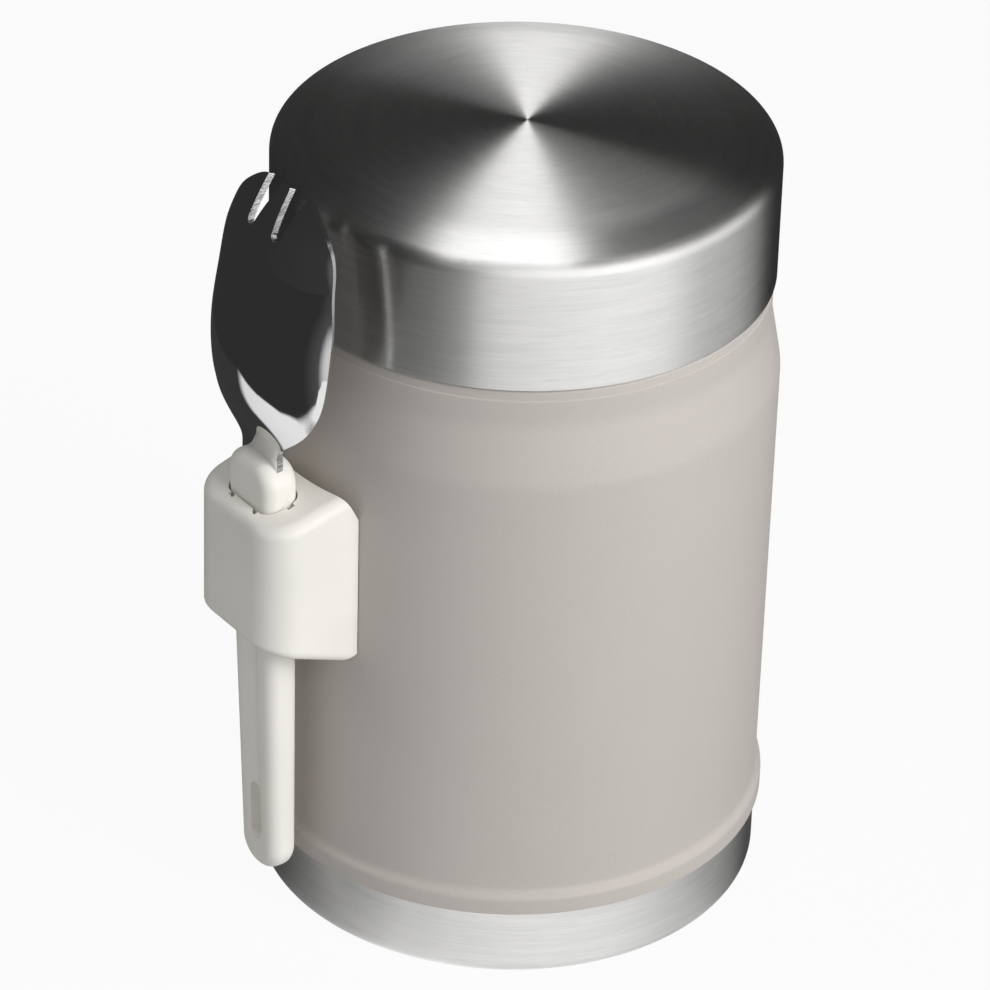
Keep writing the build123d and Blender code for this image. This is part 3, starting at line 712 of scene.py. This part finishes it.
class JAR_OT_body(bpy.types.Operator):
    """Painted outer shell with its bead, shoulder, crease and threaded neck"""

    bl_idname = "jar.body"
    bl_label = "Body"

    def execute(self, context):
        s = context.scene.jar_sizes
        low, high = SHELL_LOW.z, SHELL_HIGH.z
        bead = SHELL_HIGH.x
        wall, step = s.sheet, 0.2 * MM
        crease = s.waist + step / 2
        outside = rounded(
            (bead - wall, low),
            (bead, low, 0.25 * MM),
            (bead, s.bead_high, 1.5 * MM),
            (s.body_low, s.bead_high + 1.3 * MM, 2.2 * MM),
            (s.body_high, s.shoulder, s.shoulder_round),
            (s.waist, s.waist_height, s.shoulder_round),
            (crease, s.crease, 0.12 * MM),
            (crease - step, s.crease + step, 0.08 * MM),
            (crease - step, s.ledge, 0.7 * MM),
            (s.neck, s.ledge, 0.6 * MM),
            (s.neck, high, 0.1 * MM),
            (s.neck - wall, high),
        )
        inside = rounded(
            (s.neck - wall, high),
            (s.neck - wall, s.ledge - wall, 0.6 * MM),
            (s.waist - wall, s.ledge - wall, 0.5 * MM),
            (s.waist - wall, s.waist_height, 8 * MM),
            (s.body_high - wall, s.shoulder, 8 * MM),
            (s.body_low - wall, s.bead_high + 2 * MM, 1.5 * MM),
            (bead - wall, s.bead_high, 1.5 * MM),
            (bead - wall, low),
        )
        surface = turned(np.concatenate([outside[:-1], inside[:-1]]), closed=True)
        shell = make_piece("body_shell", surface, "jar", "painted_steel", ["outer_shell"], "powder_coat")
        bare = s.neck + 0.8 * MM

        def unpainted(centre, normal):
            """Faces of the neck and of the ledge's inner edge."""
            return (np.hypot(centre[0], centre[1]) < bare) & (centre[2] > s.crease)

        second_finish(shell, "inner_steel", unpainted)
        ridge = helix_ridge(s.neck, s.ledge + s.neck_start, LID_THREAD, 1)
        make_piece("neck_thread", ridge, "jar", "inner_steel")
        return {"FINISHED"}


class JAR_OT_base(bpy.types.Operator):
    """Brushed steel base cup with a pressed groove underneath"""

    bl_idname = "jar.base"
    bl_label = "Base cup"

    def execute(self, context):
        wall, radius, top = context.scene.jar_sizes.sheet, BASE_HIGH.x, BASE_HIGH.z
        groove, half, deep = radius - 11.6 * MM, 3.0 * MM, 0.8 * MM
        outside = rounded(
            (0, 0),
            (groove - half - deep, 0, 0.8 * MM),
            (groove - half, deep, 0.8 * MM),
            (groove + half, deep, 0.8 * MM),
            (groove + half + deep, 0, 0.8 * MM),
            (radius, 0, 2.3 * MM),
            (radius, top, 0.1 * MM),
            (radius - wall, top),
        )
        inside = rounded(
            (radius - wall, top),
            (radius - wall, wall, 1.7 * MM),
            (groove + half, wall, 0.5 * MM),
            (groove + half - deep, wall + deep, 0.5 * MM),
            (groove - half + deep, wall + deep, 0.5 * MM),
            (groove - half, wall, 0.5 * MM),
            (0, wall),
        )
        surface = turned(np.concatenate([outside[:-1], inside]))
        make_piece("base_pan", surface, "jar", "brushed_steel", ["base_cup"])
        return {"FINISHED"}


class JAR_OT_vessel(bpy.types.Operator):
    """Inner vessel with its rolled lip, and the sealed pieces of the vacuum space"""

    bl_idname = "jar.vessel"
    bl_label = "Vessel and vacuum space"

    def execute(self, context):
        dress(
            inner_vessel="inner_steel",
            shell_closure="plain_steel",
            heat_foil="copper_foil",
            getter="getter_alloy",
            getter_clip="plain_steel",
            vacuum_seal="braze",
            holder_bracket="plain_steel",
        )
        return {"FINISHED"}


def domed(s, depth):
    """The lid's top from its middle outwards: it rises by dome · (1 - (radius / rim)³) above its edge."""
    rim, end = LID_HIGH.x - s.lid_edge / 2, LID_HIGH.x - 0.93 * s.lid_edge
    radius = np.linspace(0, end, DOME_STEPS)
    return np.stack([radius, LID_HIGH.z - depth + s.lid_dome * (1 - (radius / rim) ** 3)], 1)


def domed_side(s, depth, radius, low):
    """The lid's edge and side, which leave the top along its own slope."""
    top = domed(s, depth)
    slope = (top[-1, 1] - top[-2, 1]) / (top[-1, 0] - top[-2, 0])
    corner = (radius, top[-1, 1] + slope * (radius - top[-1, 0]), s.lid_edge - depth)
    return rounded(top[-1], corner, (radius, low + MM))[1:]


class JAR_OT_lid(bpy.types.Operator):
    """Brushed steel lid cup with its liner"""

    bl_idname = "jar.lid"
    bl_label = "Lid"

    def execute(self, context):
        s = context.scene.jar_sizes
        wall, radius, low = s.sheet, LID_HIGH.x, LID_LOW.z
        outside = np.concatenate([domed(s, 0), domed_side(s, 0, radius, low)])
        inside = np.concatenate([domed(s, wall), domed_side(s, wall, radius - wall, low)])
        foot = rounded(outside[-1], (radius, low, 0.22 * MM), (radius - wall, low, 0.1 * MM), inside[-1])
        surface = turned(np.concatenate([outside[:-1], foot, inside[-2::-1]]))
        make_piece("lid_cup", surface, "lid", "brushed_steel", ["lid_shell"])
        dress(lid_liner="grey_plastic", lid_insulation="foam")
        inner = LINER_HIGH.x - s.liner_wall
        ridge = helix_ridge(inner, LINER_LOW.z + s.liner_start, LID_THREAD, -1, INNER_START)
        make_piece("liner_thread", ridge, "lid", "grey_plastic")
        return {"FINISHED"}


class JAR_OT_stopper(bpy.types.Operator):
    """Stopper cup, cover, foam and gasket"""

    bl_idname = "jar.stopper"
    bl_label = "Stopper"

    def execute(self, context):
        dress(stopper_body="grey_plastic", stopper_cover="grey_plastic")
        dress(stopper_insulation="foam", stopper_gasket="silicone")
        s = context.scene.jar_sizes
        low = STOPPER_LOW.z + s.stopper_start
        ridge = helix_ridge(s.stopper, low, STOPPER_THREAD, 1)
        make_piece("stopper_thread", ridge, "stopper", "grey_plastic")
        ridge = helix_ridge(s.mouth, low, MOUTH_THREAD, -1, INNER_START)
        make_piece("mouth_thread", ridge, "jar", "inner_steel")
        return {"FINISHED"}


def leaned(s, across, out, high):
    """Carry points from the spork's own upright frame to the jar's: a turn about X, then a shift."""
    turn = s.lean
    y = out * math.cos(turn) - high * math.sin(turn) - s.reach
    z = out * math.sin(turn) + high * math.cos(turn) + s.foot
    return np.stack(np.broadcast_arrays(across, y, z), -1)


def from_line(across, high, low_end, high_end):
    """Distance from an upright middle line between two heights."""
    return np.hypot(across, np.clip(low_end - high, 0, None) + np.clip(high - high_end, 0, None))


def sunk(s, across, high):
    """Depth of the handle's outer face: a hollow cut by a ball run along its middle, and a steep pocket."""
    ball = (s.groove_width**2 / 4 + s.groove_depth**2) / (2 * s.groove_depth)
    farthest, edge, soft = 0.8 * ball, 0.03 * MM, 0.14 * MM
    away = np.minimum(from_line(across, high, s.groove_low, s.groove_high), farthest)
    hollow = s.groove_depth - ball + np.sqrt(ball**2 - away**2)
    hollow = (hollow + np.hypot(hollow, edge)) / 2
    half = s.pocket_width / 2
    away = from_line(across, high, s.pocket_low + half, s.pocket_high - half)
    share = np.clip((half + soft - away) / (2 * soft), 0, 1)
    return np.maximum(hollow, s.pocket_depth * share * share * (3 - 2 * share))


def handle_surface(s):
    """The handle: its outline seen from the front, rounded along both edges, with the outer face sunk.

    Each column belongs to a point of the outline. It runs from a middle line over the outer face to
    the outline drawn inwards by the round r, round a quarter circle (drawn in by r (1 - sin t), out
    by r cos t from the side wall), over the side wall, and back in the same way over the inner face.
    """
    length, bend = s.handle, s.side_round
    foot, top = s.width_low / 2 - 0.05 * MM, s.shoulder_round
    corners = (0, 0), (s.width_low / 2, 0, foot), (s.width_high / 2, length, top), (0, length)
    path = rounded(*corners, steps=40, longest=0.1 * MM)
    forward = unit(np.gradient(path, axis=0))
    run = run_along(path)
    at = MM * stretches(*HANDLE_SPANS)
    at = np.r_[at[at < run[-1]], run[-1]]
    edge, forward = (read_along(at, run, part) for part in (path, forward))
    inward = unit(np.stack([-forward[:, 1], forward[:, 0]], 1))
    edge, inward = (np.concatenate([part, (part * (-1, 1))[-2:0:-1]]) for part in (edge, inward))
    middle = np.stack([np.zeros(len(edge)), np.clip(edge[:, 1], foot, length - top)], 1)
    # From the middle line outwards the steps are finest at the pocket's wall.
    shares = np.r_[np.linspace(0, 0.42, 7), np.linspace(0.44, 0.58, 10), np.linspace(0.62, 1, 8)]
    t = np.linspace(0, np.pi / 2, 12)[1:]

    def half_depth(high):
        """Half of the handle's depth at a height."""
        return (s.depth_low + high / length * (s.depth_high - s.depth_low)) / 2

    inner = edge + bend * inward
    face = middle + shares[:, None, None] * (inner - middle)
    turn = edge + (bend * (1 - np.sin(t)))[:, None, None] * inward
    face_out = sunk(s, face[..., 0], face[..., 1]) - half_depth(face[..., 1])
    turn_out = bend * (1 - np.cos(t))[:, None] - half_depth(turn[..., 1])
    back = middle + np.linspace(1, 0, 9)[:, None, None] * (inner - middle)
    flat = np.concatenate([face, turn, turn[::-1], back])
    out = np.concatenate([face_out, turn_out, -turn_out[::-1], half_depth(back[..., 1])])
    return leaned(s, flat[..., 0], out, flat[..., 1]), grid_quads(*out.shape, closed_columns=True)


def head_outline(s):
    """Right side of the head seen from the front, from the neck to the tip of the outer tine."""
    sides = [(s.bowl_half * wide, s.head * high) for high, wide in SIDE_POINTS]
    points = np.array([(s.neck / 2, MM), *sides, (s.tip_offset, s.head - s.tip_drop)])
    run = run_along(points)
    upright, inwards, steps = (0, 1), (-0.98, 0.196), 1500
    return spline(run, points, np.linspace(0, run[-1], steps), [upright, inwards])


def head_cells(s):
    """The head laid flat: a bowl whose upper edge dips round each slot's foot, and three tines above it."""
    outline = head_outline(s)
    level = s.head - s.tine + s.slot_round
    half = np.interp(level, outline[:, 1], outline[:, 0])
    inner, outer = s.slot_offset - s.slot_round, s.slot_offset + s.slot_round
    to_slot, round_slot, past_slot, dipped, up_tine = 7, 14, 21, 8, 26
    foot = s.slot_offset + s.slot_round * np.cos(np.linspace(np.pi, 0, round_slot + 1))
    right = np.r_[np.linspace(0, inner, to_slot + 1)[:-1], foot, np.linspace(outer, half, past_slot + 1)[1:]]
    dip = np.sqrt(np.clip(s.slot_round**2 - (right - s.slot_offset) ** 2, 0, None))
    top, dip = np.r_[-right[:0:-1], right], np.r_[dip[:0:-1], dip]
    spans = (-s.neck_depth, 0, 6), (0, 12 * MM, 30), (12 * MM, 36 * MM, 32), (36 * MM, level, 16)
    rows = np.r_[stretches(*spans), level][:, None]
    wide = np.interp(rows, outline[:, 1], outline[:, 0])
    start = rows[-1 - dipped]
    high = rows - dip * np.clip((rows - start) / (level - start), 0, 1) ** 2
    cells = [np.stack(np.broadcast_arrays(top * wide / half, high), -1)]

    rise = np.sin(np.linspace(0, np.pi / 2, up_tine))[:, None]
    tip_round = 0.45 * MM
    tall = level + rise * (s.head - level)
    over = np.clip(tall - (s.head - tip_round), 0, tip_round)
    side = inner + (s.middle_tine - inner) * rise - tip_round + np.sqrt(tip_round**2 - over**2)
    share = np.r_[-right[to_slot:0:-1], right[: to_slot + 1]] / inner
    cells.append(np.stack(np.broadcast_arrays(share * side, tall), -1))

    free = np.concatenate([[(half, level)], outline[outline[:, 1] >= level]])
    run = run_along(free)
    edge = read_along(rise[:, 0] * run[-1], run, free)[:, None]
    foot = np.array([outer, level])
    slot = foot + rise[:, None] * (free[-1] - foot)
    share = ((right[to_slot + round_slot :] - outer) / (half - outer))[None, :, None]
    cells.append(slot + share * (edge - slot))
    patches = [(points, grid_quads(*points.shape[:2])) for points in cells]
    tine, quads = patches[-1]
    return joined(*patches, (tine * (-1, 1), quads[:, ::-1]))


def bowl_back(s, across, high):
    """Back of the head: y = r - rise - sqrt(r² - x²). Curves through the cuts give the rise and 1/r."""
    neck = [(place, s.steel / 2, 1 / (20 * s.bowl_half)) for place in (-s.neck_depth, -MM, MM)]
    bowl = [(s.head * up, s.bowl_depth * out, 1 / (s.bowl_half * bend)) for up, out, bend in BOWL_CUTS]
    cuts = np.array(neck + bowl)
    rise, bend = spline(cuts[:, 0], cuts[:, 1:], high).T
    return across**2 * bend / (1 + np.sqrt(1 - (across * bend) ** 2)) - rise


def head_surface(s):
    """The head: its back, and its front a sheet's thickness along the back's normal, eased towards Y."""
    flat, quads = head_cells(s)
    across, high = flat.T
    back = bowl_back(s, across, high)
    step, ease, thinned = 0.02 * MM, 0.65, 0.25
    slope_x = bowl_back(s, across + step, high) - bowl_back(s, across - step, high)
    slope_z = bowl_back(s, across, high + step) - bowl_back(s, across, high - step)
    ease /= 2 * step
    normal = unit(np.stack([-ease * slope_x, np.ones_like(back), -ease * slope_z], 1))
    thick = s.steel * (1 - thinned * np.clip(np.abs(across) / s.bowl_half, 0, 1) ** 4)[:, None]
    back = np.stack([across, back, high + s.handle], 1)
    vertices, quads = sheet(back, back + thick * normal, quads)
    return leaned(s, *vertices.T), quads


class JAR_OT_holder(bpy.types.Operator):
    """Moulded holder on the jar's side"""

    bl_idname = "jar.holder"
    bl_label = "Spork holder"

    def execute(self, context):
        dress(spork_holder="cream_plastic")
        return {"FINISHED"}


class JAR_OT_spork(bpy.types.Operator):
    """Steel head and plastic handle of the spork"""

    bl_idname = "jar.spork"
    bl_label = "Spork"

    def execute(self, context):
        s = context.scene.jar_spork
        make_piece("handle_bar", handle_surface(s), "spork", "cream_plastic", ["spork_handle"])
        head = make_piece("fork_spoon", head_surface(s), "spork", "polished_steel", ["spork_head"])
        slots_low = s.foot + s.handle + s.head - s.tine - s.slot_round
        neck_high = s.foot + s.handle + 3 * MM

        def cut_face(centre, normal):
            """Faces along the slots and along the neck's two sides."""
            slots = (np.abs(centre[0]) < s.tip_offset) & (centre[2] > slots_low) & (normal[1] < 0.3)
            return slots | ((centre[2] < neck_high) & (normal[0] > 0.7))

        second_finish(head, "sheared_steel", cut_face)
        bevel = head.modifiers.new("polished_edge", "BEVEL")
        bevel.width = s.bevel
        bevel.segments = 3
        bevel.limit_method = "ANGLE"
        bevel.angle_limit = math.radians(40)
        bevel.harden_normals = True
        return {"FINISHED"}


# ---------------------------------------------------------------- stage


def along(ahead, aside, height):
    """A place by how far it is ahead towards the camera's side, how far to its right, and its height."""
    turn = bpy.context.scene.jar_stage.azimuth
    x = ahead * math.sin(turn) + aside * math.cos(turn)
    y = -ahead * math.cos(turn) + aside * math.sin(turn)
    return Vector((x, y, height))


def lamp(name, power, turn, reach, height, target, width):
    """A soft square lamp that faces a point on the jar's axis."""
    light = bpy.data.lights.new(name, "AREA")
    light.size = width
    light.energy = power
    turn = math.radians(turn)
    place = along(reach * math.cos(turn), reach * math.sin(turn), height)
    facing = Vector((0, 0, target)) - place
    lit = bpy.data.objects.new(name, light)
    lit.matrix_world = Matrix.Translation(place) @ facing.to_track_quat("-Z", "Y").to_matrix().to_4x4()
    lit.visible_glossy = False
    bpy.context.scene.collection.objects.link(lit)


def add_camera(stage):
    """Camera by its turn, elevation, roll and distance, aimed beside the jar's middle height."""
    a, e, roll = stage.azimuth, stage.elevation, stage.roll
    back = Vector((math.sin(a) * math.cos(e), -math.cos(a) * math.cos(e), math.sin(e)))
    level = Vector((math.cos(a), math.sin(a), 0))
    upright = back.cross(level)
    right = math.cos(roll) * level + math.sin(roll) * upright
    up = math.cos(roll) * upright - math.sin(roll) * level
    aim = Vector((0, 0, stage.aim)) - stage.aim_left * right + stage.aim_up * up
    place = aim + back * stage.distance
    camera = bpy.data.cameras.new("camera")
    camera.lens = stage.lens
    camera.clip_start = 0.05
    camera.clip_end = 20.0
    seen = bpy.data.objects.new("camera", camera)
    seen.matrix_world = Matrix.Translation(place) @ Matrix((right, up, back)).transposed().to_4x4()
    bpy.context.scene.collection.objects.link(seen)
    bpy.context.scene.camera = seen


def seen_white(f):
    """1 for rays from the camera, a mirror or glass."""
    rays = ("Is Camera Ray", "Is Glossy Ray", "Is Transmission Ray")
    camera, glossy, through = f.beside(f.node("ShaderNodeLightPath"), *rays)
    return f.node("ShaderNodeMath", {"operation": "MINIMUM"}, {0: camera + glossy + through, 1: 1.0})


def stage_piece(name, vertices, faces, material, seen=True):
    """A piece of the stage. One that isn't seen shows only in reflections."""
    mesh = bpy.data.meshes.new(name)
    mesh.from_pydata(np.reshape(vertices, (-1, 3)).tolist(), [], faces)
    mesh.materials.append(material)
    piece = bpy.data.objects.new(name, mesh)
    bpy.context.scene.collection.objects.link(piece)
    for rays in ("camera", "diffuse", "shadow", "transmission"):
        setattr(piece, f"visible_{rays}", seen)


def sky_finish(stage):
    """The surrounding light: white where it is seen, and of the ambient level where it lights."""
    f = Finish("surroundings", "World")
    white = seen_white(f)
    level = white + (1 - white) * stage.ambient
    return f.end(f.node("ShaderNodeBackground", {}, {"Color": level, "Strength": 1.0}))


def floor_finish():
    """The floor: white where it is seen, and grey where it is lit."""
    f = Finish("pale_floor_finish")
    lit = f.node("ShaderNodeBsdfDiffuse", {}, {"Color": tone(WHITE, 0.6)})
    shown = seen_white(f) * 0.94
    return f.end(f.node("ShaderNodeMixShader", {}, {0: shown, 1: lit, 2: f.glow(WHITE)}))


def room_finish():
    """The room that mirrors meet: light on its wall and on its floor that changes with the turn.

    The turn is the angle about the axis from the camera's side. On the wall it moves on by the square
    of the sine of the elevation, so that the light's edges lean, and the light fades upwards. On the
    floor three rings follow one another outwards, each with its own light.
    """
    f = Finish("studio_room_finish")
    place = f.place()
    ahead = f.vector("DOT_PRODUCT", place, along(1, 0, 0))
    aside = f.vector("DOT_PRODUCT", place, along(0, 1, 0))
    turn = f.node("ShaderNodeMath", {"operation": "ARCTAN2"}, {0: aside, 1: ahead}) / (2 * math.pi) + 0.5
    height = f.parts(f.vector("NORMALIZE", place, output="Vector"))[2]
    dark, lean = 0.03, 0.22
    wall = f.by_turn(turn + height * height * lean, WALL_LIGHT, 4)
    wall = dark + (wall - dark) * f.ramp(height, (0.3, 1.0), (0.55, 0.3), (0.85, 0.0))
    reach = f.vector("LENGTH", place)
    close, middle, far = (f.by_turn(turn, light, 2) for light in (CLOSE_LIGHT, MIDDLE_LIGHT, FAR_LIGHT))
    past = reach - f.by_turn(turn, MIDDLE_REACH)
    ground = far + (middle - far) * f.ramp(past + 0.5, (0.5, 1.0), (0.5 + MIDDLE_FADE, 0.0))
    ground = ground + (close - middle) * f.ramp(reach, (CLOSE_REACH[0], 1.0), (CLOSE_REACH[1], 0.0))
    above = f.ramp(f.parts(place)[2] / (10 * MM), (0.05, 0.0), (0.3, 1.0))
    return f.end(f.glow(ground + (wall - ground) * above))


class JAR_OT_stage(bpy.types.Operator):
    """Floor, surrounding light, lamps, reflection room, card and camera"""

    bl_idname = "jar.stage"
    bl_label = "Stage"

    def execute(self, context):
        scene = context.scene
        stage = scene.jar_stage
        scene.view_settings.view_transform = "Standard"
        scene.world = sky_finish(stage)
        corners = [(x * FLOOR, y * FLOOR, 0) for x, y in ((-1, -1), (1, -1), (1, 1), (-1, 1))]
        stage_piece("floor", corners, [[0, 1, 2, 3]], floor_finish())

        rise = np.linspace(0, np.pi / 2, 24)
        dome = np.stack([ROOM * np.cos(rise), ROOM * np.sin(rise) + ROOM_LIFT], 1)
        vertices, quads = turned(np.concatenate([[(0, ROOM_LIFT), (ROOM / 2, ROOM_LIFT)], dome]))
        stage_piece("studio_room", vertices, quads.tolist(), room_finish(), seen=False)

        far, near = CARD_ENDS
        sides = (far, -1), (far, 1), (near, 1), (near, -1)
        corners = [along(ahead, aside + side * half, CARD_HEIGHT) for (ahead, aside, half), side in sides]
        card = Finish("ceiling_card_finish")
        card = card.end(card.glow(WHITE, CARD_LEVEL))
        stage_piece("ceiling_card", corners, [[0, 1, 2, 3]], card, seen=False)

        lamp("key", stage.key, *KEY_LAMP)
        lamp("fill", stage.fill, *FILL_LAMP)
        add_camera(stage)
        return {"FINISHED"}


class JAR_PT_panel(bpy.types.Panel):
    """Lists the pieces in the sidebar"""

    bl_idname = "JAR_PT_panel"
    bl_label = "Food jar"
    bl_space_type = "VIEW_3D"
    bl_region_type = "UI"
    bl_category = "Food jar"

    def draw(self, context):
        for operator in OPERATORS:
            self.layout.operator(operator.bl_idname)
        for group in GROUPS:
            values = getattr(context.scene, group)
            for key in values.__annotations__:
                self.layout.prop(values, key)


OPERATORS = (
    JAR_OT_body,
    JAR_OT_base,
    JAR_OT_vessel,
    JAR_OT_lid,
    JAR_OT_stopper,
    JAR_OT_holder,
    JAR_OT_spork,
    JAR_OT_stage,
)
GROUPS = {"jar_sizes": JarSizes, "jar_spork": SporkSizes, "jar_colours": JarColours, "jar_stage": StageSizes}


def register():
    """Add the groups, the operators and the panel to Blender."""
    for group in GROUPS.values():
        bpy.utils.register_class(group)
    for name, group in GROUPS.items():
        setattr(bpy.types.Scene, name, PointerProperty(type=group))
    for cls in (*OPERATORS, JAR_PT_panel):
        bpy.utils.register_class(cls)


def unregister():
    """Take them out again, the last one first."""
    for cls in (JAR_PT_panel, *reversed(OPERATORS)):
        bpy.utils.unregister_class(cls)
    for name in GROUPS:
        delattr(bpy.types.Scene, name)
    for group in reversed(GROUPS.values()):
        bpy.utils.unregister_class(group)


def main():
    """Build the pieces and the stage."""
    register()
    bpy.ops.jar.body()
    bpy.ops.jar.base()
    bpy.ops.jar.vessel()
    bpy.ops.jar.lid()
    bpy.ops.jar.stopper()
    bpy.ops.jar.holder()
    bpy.ops.jar.spork()
    bpy.ops.jar.stage()


if __name__ == "__main__":
    main()
